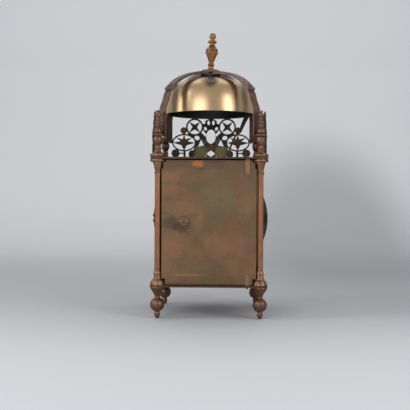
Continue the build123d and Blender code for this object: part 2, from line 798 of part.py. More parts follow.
door_floor = case_floor + door_floor_gap
door_roof = case_roof - door_roof_gap
knob_places = {
    "rear": (-rear_knob_offset, False),
    "right": (-side_knob_offset, True),
    "left": (side_knob_offset, True),
}
for wall, side in hinge_sides.items():
    across, upright_lobes = knob_places[wall]
    with BuildPart() as door:
        panel(wall, door_floor, door_roof)
        stem_hole = walls[wall].offset(-panel_thickness)
        with BuildSketch(stem_hole) as hole:
            with Locations((across, case_floor + knob_level)):
                Circle(knob_stem_radius)
        extrude(hole.sketch, amount=panel_thickness, mode=Mode.SUBTRACT)
        with BuildSketch(stem_hole) as pin_recess:
            for level in (door_floor, door_roof):
                with Locations((hinge_offset * side, level)):
                    Rectangle(2 * hinge_pin_radius + 1, 4)
        extrude(pin_recess.sketch, amount=panel_thickness, mode=Mode.SUBTRACT)
    finish(door, f"{wall}_door")

    with BuildPart() as hinges:
        strap_hinge(wall, case_floor + lower_hinge_reach, case_floor + end_shake)
        hinge_pin(wall, foot_height - hinge_pin_tail, case_floor + 2.0)
        strap_hinge(wall, case_roof - upper_hinge_reach, case_roof - end_shake)
        hinge_pin(wall, case_roof - 2.6, deck + 1)
    finish(hinges, f"{wall}_door_hinges")

    with BuildPart() as knob:
        wing_knob(wall, across, upright_lobes)
    finish(knob, f"{wall}_door_knob")

foot_circle = chapter_radius - chapter_width / 2
dial_feet = [
    (cos(radians(angle)) * foot_circle, sin(radians(angle)) * foot_circle)
    for angle in (45, 135, 225, 315)
]
with BuildPart() as dial_plate:
    panel("front", case_floor, case_roof)
    sheet_back = -panel_face + panel_thickness
    disc(hour_arbor_radius + running_gap, -panel_face - 1, sheet_back + 1, dial_z, 0, Mode.SUBTRACT)
    for x, z in dial_feet:
        disc(dial_pin_radius, -panel_face, sheet_back, dial_z + z, x, Mode.SUBTRACT)
finish(dial_plate, "dial_plate")

with BuildPart() as chapter_ring:
    with BuildSketch(upright(-dial_front + chapter_thickness, 0, dial_z)) as ring:
        Circle(chapter_radius)
        Circle(chapter_radius - chapter_width, mode=Mode.SUBTRACT)
    extrude(ring.sketch, amount=chapter_thickness)
    for x, z in dial_feet:
        disc(dial_foot_radius, -dial_front + chapter_thickness, -panel_face, dial_z + z, x)
        disc(dial_pin_radius, -panel_face, -panel_face + panel_thickness + 1, dial_z + z, x)
finish(chapter_ring, "chapter_ring")

hand_back = -dial_front - hand_standoff
hand_front = hand_back - hand_thickness
with BuildPart() as hour_hand:
    disc(6, hand_front, hand_back, dial_z)
    lean = Vector(0, 1).rotate(Axis.Z, 60)
    aside = lean.rotate(Axis.Z, 90)
    hub = Vector(0, dial_z)
    blade = [
        hub - lean * hand_length / 3 + aside * 2,
        hub + aside * 1.5,
        hub + lean * hand_length * 0.6 + aside * 1.5,
        hub + lean * hand_length * 0.75 + aside * 6,
        hub + lean * hand_length,
        hub + lean * hand_length * 0.75 - aside * 6,
        hub + lean * hand_length * 0.6 - aside * 1.5,
        hub - aside * 1.5,
        hub - lean * hand_length / 3 - aside * 2,
    ]
    slab([(point.X, point.Y) for point in blade], hand_front, hand_back)
    disc(hour_arbor_radius, hand_front, hand_back, dial_z, 0, Mode.SUBTRACT)
finish(hour_hand, "hour_hand")


# ---- movement bars ---------------------------------------------------------------------------------
def bar(back):
    """Add an upright bar with its tenons in the plates."""
    front = back - bar_thickness
    half = bar_width / 2
    slab([(-half, case_floor), (half, case_floor), (half, case_roof), (-half, case_roof)], front, back)
    half = tenon_width / 2
    slab([(-half, foot_height), (half, foot_height), (half, deck), (-half, deck)], front, back)


def ear(x, z, back):
    """Add an ear beside a bar for an arbor that runs beside the trains."""
    front = back - bar_thickness
    edge = bar_width / 2 * (1 if x > 0 else -1)
    slab([(0, z - 9), (edge, z - 9), (x, z - 4), (x, z + 4), (edge, z + 9), (0, z + 9)], front, back)
    disc(4, front, back, z, x)


def pivot_hole(radius, back, z, x=0.0):
    """Cut the hole for a pivot in a bar."""
    disc(radius + running_gap, back - bar_thickness, back, z, x, Mode.SUBTRACT)


with BuildPart() as front_bar:
    bar(front_bar_back)
    pivot_hole(pivot_radius, front_bar_back, great_z)
    pivot_hole(fine_pivot_radius, front_bar_back, second_z)
    pivot_hole(pivot_radius, front_bar_back, dial_z)
    pivot_hole(fine_pivot_radius, front_bar_back, escape_z)
    pivot_hole(pivot_radius, front_bar_back, anchor_z)
finish(front_bar, "front_bar")

with BuildPart() as middle_bar:
    bar(middle_bar_back)
    ear(hammer_x, hammer_z, middle_bar_back)
    ear(detent_x, detent_z, middle_bar_back)
    pivot_hole(pivot_radius, middle_bar_back, great_z)
    for level in (second_z, warning_z, escape_z, fly_z):
        pivot_hole(fine_pivot_radius, middle_bar_back, level)
    pivot_hole(pivot_radius + 1.0, middle_bar_back, anchor_z)
    pivot_hole(pivot_radius, middle_bar_back, hammer_z, hammer_x)
    pivot_hole(pivot_radius, middle_bar_back, detent_z, detent_x)
finish(middle_bar, "middle_bar")

count_back = rear_bar_back + count_stud_length
with BuildPart() as rear_bar:
    bar(rear_bar_back)
    ear(hammer_x, hammer_z, rear_bar_back)
    ear(detent_x, detent_z, rear_bar_back)
    pivot_hole(pivot_radius, rear_bar_back, great_z)
    for level in (second_z, warning_z, fly_z):
        pivot_hole(fine_pivot_radius, rear_bar_back, level)
    pivot_hole(pivot_radius, rear_bar_back, anchor_z)
    pivot_hole(pivot_radius, rear_bar_back, hammer_z, hammer_x)
    pivot_hole(pivot_radius, rear_bar_back, detent_z, detent_x)
    disc(count_stud_radius, rear_bar_back, count_back, count_z)
finish(rear_bar, "rear_bar")


# ---- going train -----------------------------------------------------------------------------------
def rope_pulley(front, back, z):
    """Add a rope pulley with two rims."""
    disc(pulley_radius, front, back, z)
    disc(pulley_rim_radius, front, front + pulley_rim_width, z)
    disc(pulley_rim_radius, back - pulley_rim_width, back, z)


half_bar = bar_thickness / 2
great_front = front_bar_back + 4.5
with BuildPart() as going_great_wheel:
    disc(arbor_radius, front_bar_back + end_shake, middle_bar_front - end_shake, great_z)
    great_back = great_front + great_wheel_thickness
    toothed_disc(great_teeth, great_module, great_front, great_back, great_z, True)
    crossings(great_teeth * great_module / 2 - 4, 19, great_front, great_back, great_z)
    rope_pulley(*going_pulley, great_z)
    disc(pivot_radius, front_bar_front - 8, middle_bar_front + half_bar, great_z)
    toothed_disc(report_leaves, dial_module, front_bar_front - 7.5, front_bar_front - 2.5, great_z, True)
finish(going_great_wheel, "going_great_wheel")

second_front = middle_bar_front - 22.5
with BuildPart() as second_wheel:
    disc(arbor_radius, front_bar_back + end_shake, middle_bar_front - end_shake, second_z)
    disc(fine_pivot_radius, front_bar_front, middle_bar_front + half_bar - 0.1, second_z)
    toothed_disc(pinion_leaves, great_module, great_front - 2, great_front + 5, second_z, False)
    second_back = second_front + wheel_thickness
    toothed_disc(second_teeth, second_module, second_front, second_back, second_z, True)
    crossings(second_teeth * second_module / 2 - 3.5, 6, second_front, second_back, second_z)
finish(second_wheel, "second_wheel")

escape_front = middle_bar_front - 10.5
with BuildPart() as escape_wheel:
    disc(arbor_radius - 0.5, front_bar_back + end_shake, middle_bar_front - end_shake, escape_z)
    disc(fine_pivot_radius, front_bar_front, middle_bar_front + half_bar - 0.1, escape_z)
    toothed_disc(pinion_leaves, second_module, second_front - 2, second_front + 4, escape_z, False)
    teeth_points = []
    tooth_root = escape_radius - 4
    hooked_tooth = ((tooth_root, 0), (escape_radius, 0.35), (escape_radius, 0.5), (tooth_root, 0.85))
    for tooth in range(escape_teeth):
        for radius, lead in hooked_tooth:
            turn = radians((tooth + lead) * 360 / escape_teeth)
            teeth_points.append((radius * cos(turn), escape_z + radius * sin(turn)))
    slab(teeth_points, escape_front, escape_front + wheel_thickness)
    crossings(escape_radius - 6, 4, escape_front, escape_front + wheel_thickness, escape_z)
finish(escape_wheel, "escape_wheel")

anchor_half = ((14.0, -3.4), (19.0, -12.0), (17.0, -13.8), (12.5, -7.4))
pendulum_y = rear_bar_back + pendulum_standoff
with BuildPart() as anchor:
    disc(pivot_radius, front_bar_front, pendulum_y + 4, anchor_z)
    outline = [(0, anchor_z + 4), *((x, anchor_z + z) for x, z in anchor_half), (0, anchor_z - 2.5)]
    outline += [(-x, anchor_z + z) for x, z in reversed(anchor_half)]
    slab(outline, escape_front - 0.5, escape_front + wheel_thickness + 0.5)
finish(anchor, "anchor")

with BuildPart() as pendulum:
    bob_z = anchor_z - pendulum_length
    disc(bob_radius, pendulum_y - bob_thickness / 2, pendulum_y + bob_thickness / 2, bob_z)
    chamfer(pendulum.edges().filter_by(GeomType.CIRCLE), bob_thickness / 3)
    disc(4, pendulum_y - 2, pendulum_y + 2, anchor_z)
    post(1.2, bob_z, anchor_z - 2, 0, pendulum_y)
    disc(pivot_radius, pendulum_y - 2, pendulum_y + 2, anchor_z, 0, Mode.SUBTRACT)
finish(pendulum, "pendulum")

with BuildPart() as dial_wheel:
    disc(hour_arbor_radius, hand_front - 1, front_bar_front - end_shake, dial_z)
    disc(pivot_radius, front_bar_front - end_shake, front_bar_back, dial_z)
    wheel_front = front_bar_front - 6
    toothed_disc(dial_teeth, dial_module, wheel_front, wheel_front + wheel_thickness, dial_z, False)
    crossings(dial_teeth * dial_module / 2 - 5, 9, wheel_front, wheel_front + wheel_thickness, dial_z)
finish(dial_wheel, "dial_wheel")

# ---- striking train --------------------------------------------------------------------------------
strike_front = middle_bar_back + 28.5
with BuildPart() as strike_great_wheel:
    disc(arbor_radius, middle_bar_back + end_shake, rear_bar_front - end_shake, great_z)
    strike_back = strike_front + great_wheel_thickness
    toothed_disc(great_teeth, great_module, strike_front, strike_back, great_z, True)
    crossings(19, 10, strike_front, strike_back, great_z)
    rope_pulley(*strike_pulley, great_z)
    for pin in range(lifting_pins):
        turn = radians(pin * 360 / lifting_pins)
        level = great_z + lifting_pin_circle * sin(turn)
        disc(1.2, strike_front - 8, strike_front, level, lifting_pin_circle * cos(turn))
    disc(pivot_radius, middle_bar_back - half_bar + 0.1, count_back - 0.7, great_z)
    toothed_disc(pinion_leaves, count_module, rear_bar_back + 0.3, count_back - 0.7, great_z, True)
finish(strike_great_wheel, "strike_great_wheel")

hoop_front = middle_bar_back + 12.5
with BuildPart() as hoop_wheel:
    disc(arbor_radius, middle_bar_back + end_shake, rear_bar_front - end_shake, second_z)
    disc(fine_pivot_radius, middle_bar_back - half_bar + 0.1, rear_bar_back - 0.1, second_z)
    toothed_disc(pinion_leaves, great_module, strike_front - 2, strike_front + 5, second_z, False)
    toothed_disc(hoop_teeth, hoop_module, hoop_front, hoop_front + wheel_thickness, second_z, True)
    crossings(hoop_teeth * hoop_module / 2 - 5, 5, hoop_front, hoop_front + wheel_thickness, second_z)
    with BuildSketch(upright(hoop_front, 0, second_z)) as hoop:
        Circle(17.5)
        Circle(15.8, mode=Mode.SUBTRACT)
        with Locations((16, 4)):
            Rectangle(8, 3, mode=Mode.SUBTRACT)
    extrude(hoop.sketch, amount=4)
finish(hoop_wheel, "hoop_wheel")

warning_front = rear_bar_front - 16
with BuildPart() as warning_wheel:
    disc(arbor_radius - 0.5, middle_bar_back + end_shake, rear_bar_front - end_shake, warning_z)
    disc(fine_pivot_radius, middle_bar_back - half_bar + 0.1, rear_bar_back - 0.1, warning_z)
    toothed_disc(pinion_leaves, hoop_module, hoop_front - 2, hoop_front + 4, warning_z, False)
    warning_back = warning_front + 1.5
    toothed_disc(warning_teeth, warning_module, warning_front, warning_back, warning_z, True)
    crossings(warning_teeth * warning_module / 2 - 3, 4, warning_front, warning_back, warning_z)
finish(warning_wheel, "warning_wheel")

with BuildPart() as fly:
    disc(1.5, middle_bar_back + end_shake, rear_bar_front - end_shake, fly_z)
    disc(fine_pivot_radius, middle_bar_back - half_bar + 0.1, rear_bar_back - 0.1, fly_z)
    toothed_disc(fly_leaves, warning_module, warning_front - 2, warning_front + 3, fly_z, False)
    blade = ((-fly_radius, -0.5), (fly_radius, -0.5), (fly_radius, 0.5), (-fly_radius, 0.5))
    slab([(x, fly_z + z) for x, z in blade], hoop_front + 5, hoop_front + 17)
finish(fly, "fly")

with BuildPart() as count_wheel:
    count_front = rear_bar_back + 1.0
    toothed_disc(count_teeth, count_module, count_front, count_front + 1.5, count_z, False)
    with BuildSketch(upright(count_back - 0.2, 0, count_z)) as locking_rim:
        Circle(21)
        Circle(18, mode=Mode.SUBTRACT)
        total = 0
        for hour in range(1, 13):
            total += hour + 1
            with Locations(Location((0, 0, 0), (0, 0, total * 360 / 90))):
                with Locations((20.5, 0)):
                    Rectangle(2.4, 1.2, mode=Mode.SUBTRACT)
    extrude(locking_rim.sketch, amount=count_back - 0.2 - count_front)
    disc(count_stud_radius + running_gap, rear_bar_back, count_back + 1, count_z, 0, Mode.SUBTRACT)
finish(count_wheel, "count_wheel")


def lever(x, z, reach_x, reach_z, front, back):
    """Add a flat arm from an arbor to the point that it reaches."""
    along = Vector(reach_x - x, reach_z - z).normalized()
    aside = along.rotate(Axis.Z, 90) * lever_width / 2
    start, end = Vector(x, z), Vector(reach_x, reach_z)
    points = [start + aside, end + aside, end - aside, start - aside]
    slab([(point.X, point.Y) for point in points], front, back)


with BuildPart() as locking_detent:
    arbor(middle_bar_back, rear_bar_front, detent_z, pivot_radius, detent_x)
    disc(pivot_radius, rear_bar_front, count_back, detent_z, detent_x)
    lever(detent_x, detent_z, 17.6, second_z + 6.8, hoop_front - 3, hoop_front - 1)
    lever(detent_x, detent_z, 19.2, count_z + 11.8, count_back - 1.4, count_back)
    disc(3, count_back - 1.4, count_back, detent_z, detent_x)
finish(locking_detent, "locking_detent")

# ---- hammer ----------------------------------------------------------------------------------------
tail_plane = strike_front - 4.5
with BuildPart() as hammer:
    arbor(middle_bar_back, rear_bar_front, hammer_z, pivot_radius, hammer_x)
    lever(hammer_x, hammer_z, hammer_x - 2.6, great_z + 5, tail_plane - 1.5, tail_plane + 1.5)
    with BuildSketch(upright(hammer_plane + lever_width / 2)) as stem:
        with BuildLine():
            rise = Spline(
                (hammer_x - 1, hammer_z),
                (hammer_x - 0.8, deck),
                (hammer_x - 4.4, deck + 18),
                (hammer_x - 16.5, deck + 42),
                tangents=((0, 1), (-0.55, 1)),
            )
            side = parallel(rise, lever_width)
            Line(rise @ 0, side @ 0)
            Line(rise @ 1, side @ 1)
        make_face()
    extrude(stem.sketch, amount=lever_width)
    head_back = hammer_plane + hammer_head_thickness / 2
    with BuildSketch(upright(head_back, hammer_x - 15.5, deck + 39)) as head:
        with BuildLine():
            heel = Spline((-3, 0), (-8.5, 12), (-14.8, 24), (-15.7, 29), tangents=((-0.4, 1), (0.3, 1)))
            crown = ThreePointArc(heel @ 1, (-12.6, 32), (-9, 29.5))
            Spline(crown @ 1, (-4.6, 17), (1.6, 0), tangents=((0.1, -1), (0.4, -1)))
            Line((1.6, 0), (-3, 0))
        make_face()
    extrude(head.sketch, amount=hammer_head_thickness)
finish(hammer, "hammer")
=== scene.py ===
"""Looks of a brass lantern clock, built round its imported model.

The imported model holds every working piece. This script gives each piece its finish, adds the
numerals and the tracks of the dial, and sets up a pale studio.
"""

import json
import logging
from dataclasses import dataclass, field
from enum import Enum
from math import cos, pi, radians, sin, tau
from typing import Any

import bmesh
import bpy
from mathutils import Matrix, Quaternion, Vector

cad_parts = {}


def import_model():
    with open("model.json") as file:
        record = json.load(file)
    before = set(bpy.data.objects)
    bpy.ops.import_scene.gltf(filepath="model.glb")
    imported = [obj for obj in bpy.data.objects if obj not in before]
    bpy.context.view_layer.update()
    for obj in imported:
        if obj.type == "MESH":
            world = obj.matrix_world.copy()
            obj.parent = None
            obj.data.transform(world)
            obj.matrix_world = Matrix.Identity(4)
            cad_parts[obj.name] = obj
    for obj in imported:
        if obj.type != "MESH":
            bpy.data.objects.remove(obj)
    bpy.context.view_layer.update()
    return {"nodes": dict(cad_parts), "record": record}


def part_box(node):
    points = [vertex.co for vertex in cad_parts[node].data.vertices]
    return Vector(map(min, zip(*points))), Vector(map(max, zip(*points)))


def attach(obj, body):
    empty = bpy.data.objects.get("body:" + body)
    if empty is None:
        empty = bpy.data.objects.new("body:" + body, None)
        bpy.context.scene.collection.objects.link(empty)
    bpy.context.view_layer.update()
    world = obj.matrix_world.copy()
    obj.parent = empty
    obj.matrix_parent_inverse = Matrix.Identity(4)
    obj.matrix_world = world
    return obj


log = logging.getLogger("lantern_clock")

Colour = tuple[float, float, float]
Point = tuple[float, float, float]

NOISE_ROUGHNESS = 0.6
NOISE_MEAN = 0.5
SPOT_FRAY_SIZE = 0.7  # of the spot's longest reach
SPOT_EDGE = (0.35, 1.0)
FACING_BAND = (-0.001, 0.001)


class Wire:
    """A number that comes out of a shader node, with arithmetic that adds Math nodes."""

    def __init__(self, graph: "Graph", socket: bpy.types.NodeSocket) -> None:
        """Hold a socket.

        Args:
            graph: The graph that the socket is in.
            socket: An output socket.
        """
        self.graph = graph
        self.socket = socket

    def math(self, operation: str, *others: "Wire | float") -> "Wire":
        """Apply a Math node to this value.

        Args:
            operation: The Math node's operation.
            others: The operation's other operands.

        Returns:
            The result.
        """
        operands = dict(enumerate((self, *others)))
        return self.graph.node("ShaderNodeMath", {"operation": operation}, operands)

    def __add__(self, other: "Wire | float") -> "Wire":
        """Add.

        Args:
            other: A number or another value.

        Returns:
            The sum.
        """
        return self.math("ADD", other)

    __radd__ = __add__

    def __sub__(self, other: "Wire | float") -> "Wire":
        """Subtract.

        Args:
            other: A number or another value.

        Returns:
            The difference.
        """
        return self.math("SUBTRACT", other)

    def __rsub__(self, other: float) -> "Wire":
        """Subtract this value from a number.

        Args:
            other: The number.

        Returns:
            The difference.
        """
        return (self * -1.0) + other

    def __mul__(self, other: "Wire | float") -> "Wire":
        """Multiply.

        Args:
            other: A number or another value.

        Returns:
            The product.
        """
        return self.math("MULTIPLY", other)

    __rmul__ = __mul__

    def ramp(self, low: float, high: float) -> "Wire":
        """Rise smoothly from 0 at low to 1 at high.

        Args:
            low: The value that gives 0.
            high: The value that gives 1.

        Returns:
            The eased value.
        """
        settings = {"interpolation_type": "SMOOTHSTEP"}
        inputs = {"Value": self, "From Min": low, "From Max": high}
        return self.graph.node("ShaderNodeMapRange", settings, inputs)


class Graph:
    """A material's node graph."""

    def __init__(self, name: str) -> None:
        """Start a material.

        Args:
            name: The material's name.
        """
        self.material = bpy.data.materials.new(name)
        self.material.use_nodes = True
        self.tree = self.material.node_tree
        self.shader = self.tree.nodes["Principled BSDF"]
        self.place = self.node("ShaderNodeTexCoord", {}, {}, "Object")

    def node(
        self, kind: str, settings: dict[str, Any], inputs: dict[Any, Any], output: str | int = 0
    ) -> Wire:
        """Add a node.

        Args:
            kind: The node's type.
            settings: Attributes, which are set first.
            inputs: Values or wires, by the socket's name or number.
            output: The name or number of the output to return.

        Returns:
            The output.
        """
        made = self.tree.nodes.new(kind)
        for key, value in settings.items():
            setattr(made, key, value)
        for key, value in inputs.items():
            if isinstance(value, Wire):
                self.tree.links.new(value.socket, made.inputs[key])
            else:
                made.inputs[key].default_value = value
        return Wire(self, made.outputs[output])

    def noise(
        self, size: float, detail: float = 4.0, stretch: Point = (1, 1, 1), shift: float = 0.0
    ) -> Wire:
        """Add a noise whose blotches are about this size.

        Args:
            size: The size in metres.
            detail: The number of finer layers.
            stretch: How much each axis is squeezed.
            shift: How far the pattern is moved.

        Returns:
            The noise, from 0 to 1.
        """
        scale = tuple(axis / size for axis in stretch)
        mapping = {"Vector": self.place, "Scale": scale, "Location": (shift,) * 3}
        place = self.node("ShaderNodeMapping", {}, mapping)
        inputs = {"Vector": place, "Scale": 1.0, "Detail": detail, "Roughness": NOISE_ROUGHNESS}
        return self.node("ShaderNodeTexNoise", {}, inputs)

    def mix(self, share: Wire | float, first: Any, second: Any) -> Wire:
        """Mix two colours.

        Args:
            share: How much of the second there is.
            first: A colour or a wire.
            second: A colour or a wire.

        Returns:
            The mixed colour.
        """
        first = first if isinstance(first, Wire) else (*first, 1.0)
        second = second if isinstance(second, Wire) else (*second, 1.0)
        return self.node("ShaderNodeMix", {"data_type": "RGBA"}, {0: share, 6: first, 7: second}, 2)

    def near(self, centre: Point, spread: Point, ragged: float) -> Wire:
        """Make a soft spot round a place.

        Args:
            centre: The spot's centre in metres.
            spread: The spot's reach along each axis, in metres.
            ragged: How much noise frays the edge.

        Returns:
            1 at the centre and 0 outside.
        """
        scale = tuple(1 / reach for reach in spread)
        shift = tuple(-middle / reach for middle, reach in zip(centre, spread))
        mapping = {"Vector": self.place, "Scale": scale, "Location": shift}
        place = self.node("ShaderNodeMapping", {}, mapping)
        away = self.node("ShaderNodeVectorMath", {"operation": "LENGTH"}, {0: place}, "Value")
        fray = (self.noise(max(spread) * SPOT_FRAY_SIZE) - NOISE_MEAN) * ragged
        return 1.0 - (away + fray).ramp(*SPOT_EDGE)

    def outward(self, centre: Point) -> Wire:
        """Tell which faces look away from a point.

        Args:
            centre: The point in metres.

        Returns:
            1 on faces that look away from the point and 0 on faces that look towards it.
        """
        facing = self.node("ShaderNodeTexCoord", {}, {}, "Normal")
        subtract, dot = {"operation": "SUBTRACT"}, {"operation": "DOT_PRODUCT"}
        away = self.node("ShaderNodeVectorMath", subtract, {0: self.place, 1: centre})
        agreement = self.node("ShaderNodeVectorMath", dot, {0: facing, 1: away}, "Value")
        return agreement.ramp(*FACING_BAND)

    def feed(self, **sockets: Any) -> None:
        """Set or link the shader's sockets.

        Args:
            sockets: Values or wires, by the socket's name with underscores for spaces.
        """
        for key, value in sockets.items():
            target = self.shader.inputs[key.replace("_", " ")]
            if isinstance(value, Wire):
                self.tree.links.new(value.socket, target)
            else:
                target.default_value = value


class Grain(Enum):
    """How a metal surface was worked."""

    TURNED = "turned"
    SHEET = "sheet"
    CAST = "cast"
    STRIP = "strip"
    POLISHED = "polished"


@dataclass(frozen=True)
class Layer:
    """One noise in the relief of a surface.

    Attributes:
        size: The size of its blotches in metres.
        detail: The number of its finer layers.
        share: How much it adds to the relief.
        stretch: How much each axis is squeezed.
    """

    size: float
    detail: float
    share: float
    stretch: Point = (1, 1, 1)


RELIEFS = {
    Grain.TURNED: (Layer(0.0016, 2, 0.6, (0.12, 0.12, 1)), Layer(0.004, 3, 0.4)),
    Grain.SHEET: (Layer(0.03, 2, 0.7), Layer(0.0012, 2, 0.3, (0.08, 0.08, 1))),
    Grain.CAST: (Layer(0.003, 4, 1.0),),
    Grain.STRIP: (Layer(0.005, 4, 0.7), Layer(0.0012, 2, 0.3)),
    Grain.POLISHED: (Layer(0.05, 0, 0.85), Layer(0.0015, 1, 0.15, (0.05, 0.05, 1))),
}


@dataclass(frozen=True)
class StainAndShade:
    """A mark at one place on a finish. Some marks are real, others are painted shade.

    Attributes:
        centre: Its centre in metres.
        spread: Its reach along each axis in metres.
        colour: Its colour.
        strength: How much it covers at its centre, from 0 to 1.
    """

    centre: Point
    spread: Point
    colour: Colour
    strength: float


BUMP_DISTANCE = 0.0006
STAIN_AND_SHADE_FRAY = 1.1
# Sizes as shares of a finish's blotch. The shifts only keep the patterns apart.
PATCH_SIZE, PATCH_SHIFT = 0.35, 3.7
SPECK_SIZE, SPECK_SHIFT = 0.06, 9.1
TINT_SPOT_SIZE, TINT_SPOT_SHIFT, TINT_SPOT_STEP = 0.5, 5.3, 2.9
TINT_STREAK_SIZE, TINT_STREAK_SHIFT, TINT_STREAK_STEP = 0.05, 1.7, 2.3
TINT_SPOT_STRETCH, TINT_STREAK_STRETCH = (0.6, 0.6, 1.0), (0.12, 0.12, 1.0)
BROAD_BAND = (0.36, 0.64)
WEAR_BAND = (0.3, 0.7)
TINT_BAND, TINT_STRENGTH = (0.5, 0.62), 0.5
# Each pair is the value without grime, and its change at full grime.
GRIME_LOW, GRIME_LOW_DROP = 0.62, 0.25
GRIME_HIGH, GRIME_HIGH_DROP = 0.78, 0.12
GRIME_COVER, GRIME_COVER_GAIN = 0.35, 0.5
# Each pair is the weights of the coarser and the finer noise.
GRIME_COARSE, GRIME_FINE = 0.7, 0.3
WEAR_COARSE, WEAR_FINE = 0.6, 0.4
TINT_COARSE, TINT_FINE = 0.75, 0.25


@dataclass(frozen=True)
class AgedMetal:
    """Old metal with patina, grime, worn places and, on some finishes, painted shade.

    Attributes:
        slot: The record's material slot.
        light: The brightest colour of the metal.
        middle: The other colour of the metal.
        dark: The colour of the grime.
        metallic: How metallic it is, from 0 to 1.
        smooth: The roughness of the smoothest places.
        rough: The roughness of the roughest places.
        blotch: The size of the patina's blotches in metres.
        grime: How much grime there is, from 0 to 1.
        grain: How the surface was worked.
        bump: The strength of the relief.
        stains_and_shade: Marks at places of their own: real ones, and painted shade.
        tints: Further colours in spots and streaks.
        inward_tone_and_shade: The colour, not metallic, of the faces that look towards the heart,
            if they differ. Inside the bell it is painted shade.
        heart: The point in metres that those faces look towards.
    """

    slot: str
    light: Colour
    middle: Colour
    dark: Colour
    metallic: float
    smooth: float
    rough: float
    blotch: float = 0.02
    grime: float = 0.4
    grain: Grain = Grain.CAST
    bump: float = 0.15
    stains_and_shade: tuple[StainAndShade, ...] = ()
    tints: tuple[Colour, ...] = ()
    inward_tone_and_shade: Colour | None = None
    heart: Point = (0.0, 0.0, 0.0)

    def relief(self, graph: Graph) -> Wire:
        """Make the height pattern of the surface.

        Args:
            graph: The material's graph.

        Returns:
            The height.
        """
        first, *others = [
            graph.noise(layer.size, layer.detail, layer.stretch) * layer.share
            for layer in RELIEFS[self.grain]
        ]
        return sum(others, first)

    def patina(self, graph: Graph, patches: Wire, specks: Wire) -> Wire:
        """Mix the metal's colours and lay the grime over them.

        Args:
            graph: The material's graph.
            patches: The middle-sized noise.
            specks: The fine noise.

        Returns:
            The colour.
        """
        broad = graph.noise(self.blotch, detail=5)
        base = graph.mix(broad.ramp(*BROAD_BAND), self.light, self.middle)
        low = GRIME_LOW - GRIME_LOW_DROP * self.grime
        high = GRIME_HIGH - GRIME_HIGH_DROP * self.grime
        soiled = (patches * GRIME_COARSE + specks * GRIME_FINE).ramp(low, high)
        return graph.mix(soiled * (GRIME_COVER + GRIME_COVER_GAIN * self.grime), base, self.dark)

    def mark(self, graph: Graph, colour: Wire) -> Wire:
        """Lay the tints and then the marks, real ones and painted shade, over a colour.

        Args:
            graph: The material's graph.
            colour: The colour below.

        Returns:
            The marked colour.
        """
        for step, tint in enumerate(self.tints):
            spots = graph.noise(
                self.blotch * TINT_SPOT_SIZE,
                detail=6,
                stretch=TINT_SPOT_STRETCH,
                shift=TINT_SPOT_SHIFT + TINT_SPOT_STEP * step,
            )
            streaks = graph.noise(
                self.blotch * TINT_STREAK_SIZE,
                detail=3,
                stretch=TINT_STREAK_STRETCH,
                shift=TINT_STREAK_SHIFT + TINT_STREAK_STEP * step,
            )
            mottle = (spots * TINT_COARSE + streaks * TINT_FINE).ramp(*TINT_BAND)
            colour = graph.mix(mottle * TINT_STRENGTH, colour, tint)
        for stain_and_shade in self.stains_and_shade:
            mask = graph.near(stain_and_shade.centre, stain_and_shade.spread, STAIN_AND_SHADE_FRAY) * stain_and_shade.strength
            colour = graph.mix(mask, colour, stain_and_shade.colour)
        return colour

    def build(self) -> bpy.types.Material:
        """Make the material.

        Returns:
            The material.
        """
        graph = Graph(self.slot)
        patches = graph.noise(self.blotch * PATCH_SIZE, detail=6, shift=PATCH_SHIFT)
        specks = graph.noise(self.blotch * SPECK_SIZE, detail=3, shift=SPECK_SHIFT)
        colour = self.mark(graph, self.patina(graph, patches, specks))
        metallic: Wire | float = self.metallic
        # Faces towards the heart: painted shade inside the bell, the dark back of the chapter ring.
        if self.inward_tone_and_shade is not None:
            outer = graph.outward(self.heart)
            colour = graph.mix(outer, self.inward_tone_and_shade, colour)
            metallic = outer * self.metallic
        relief = {"Strength": self.bump, "Distance": BUMP_DISTANCE, "Height": self.relief(graph)}
        normal = graph.node("ShaderNodeBump", {}, relief, "Normal")
        wear = (patches * WEAR_COARSE + specks * WEAR_FINE).ramp(*WEAR_BAND)
        roughness = self.smooth + (self.rough - self.smooth) * wear
        graph.feed(Base_Color=colour, Roughness=roughness, Metallic=metallic, Normal=normal)
        return graph.material


DOOR_STAINS_AND_PAINTED_SHADE = (
    StainAndShade((0.055, 0.072, 0.190), (0.022, 0.03, 0.010), (0.25, 0.105, 0.055), 0.5),
    StainAndShade((0.052, 0.072, 0.172), (0.026, 0.03, 0.009), (0.25, 0.105, 0.055), 0.5),
    StainAndShade((0.050, 0.072, 0.096), (0.024, 0.03, 0.020), (0.24, 0.105, 0.055), 0.5),
    StainAndShade((-0.030, 0.072, 0.100), (0.030, 0.03, 0.022), (0.25, 0.11, 0.055), 0.4),
    StainAndShade((-0.056, 0.072, 0.094), (0.014, 0.03, 0.014), (0.16, 0.065, 0.05), 0.55),
    StainAndShade((-0.015, 0.072, 0.165), (0.030, 0.03, 0.045), (0.12, 0.115, 0.055), 0.45),
    # Darker along the top of the door, just under the top plate.
    StainAndShade((0.010, 0.072, 0.205), (0.080, 0.03, 0.009), (0.085, 0.06, 0.04), 0.5),
    StainAndShade((-0.060, 0.072, 0.185), (0.016, 0.03, 0.035), (0.11, 0.085, 0.05), 0.5),
    # Painted shade round the rear door's knob, beside and below it.
    StainAndShade((0.052, 0.072, 0.127), (0.020, 0.02, 0.013), (0.055, 0.036, 0.022), 0.6),
    StainAndShade((0.036, 0.072, 0.122), (0.017, 0.02, 0.010), (0.05, 0.032, 0.02), 0.7),
    StainAndShade((0.016, 0.072, 0.2075), (0.012, 0.02, 0.0065), (0.42, 0.15, 0.05), 0.8),
    StainAndShade((0.030, 0.072, 0.0582), (0.030, 0.02, 0.0014), (0.26, 0.19, 0.12), 0.4),
)
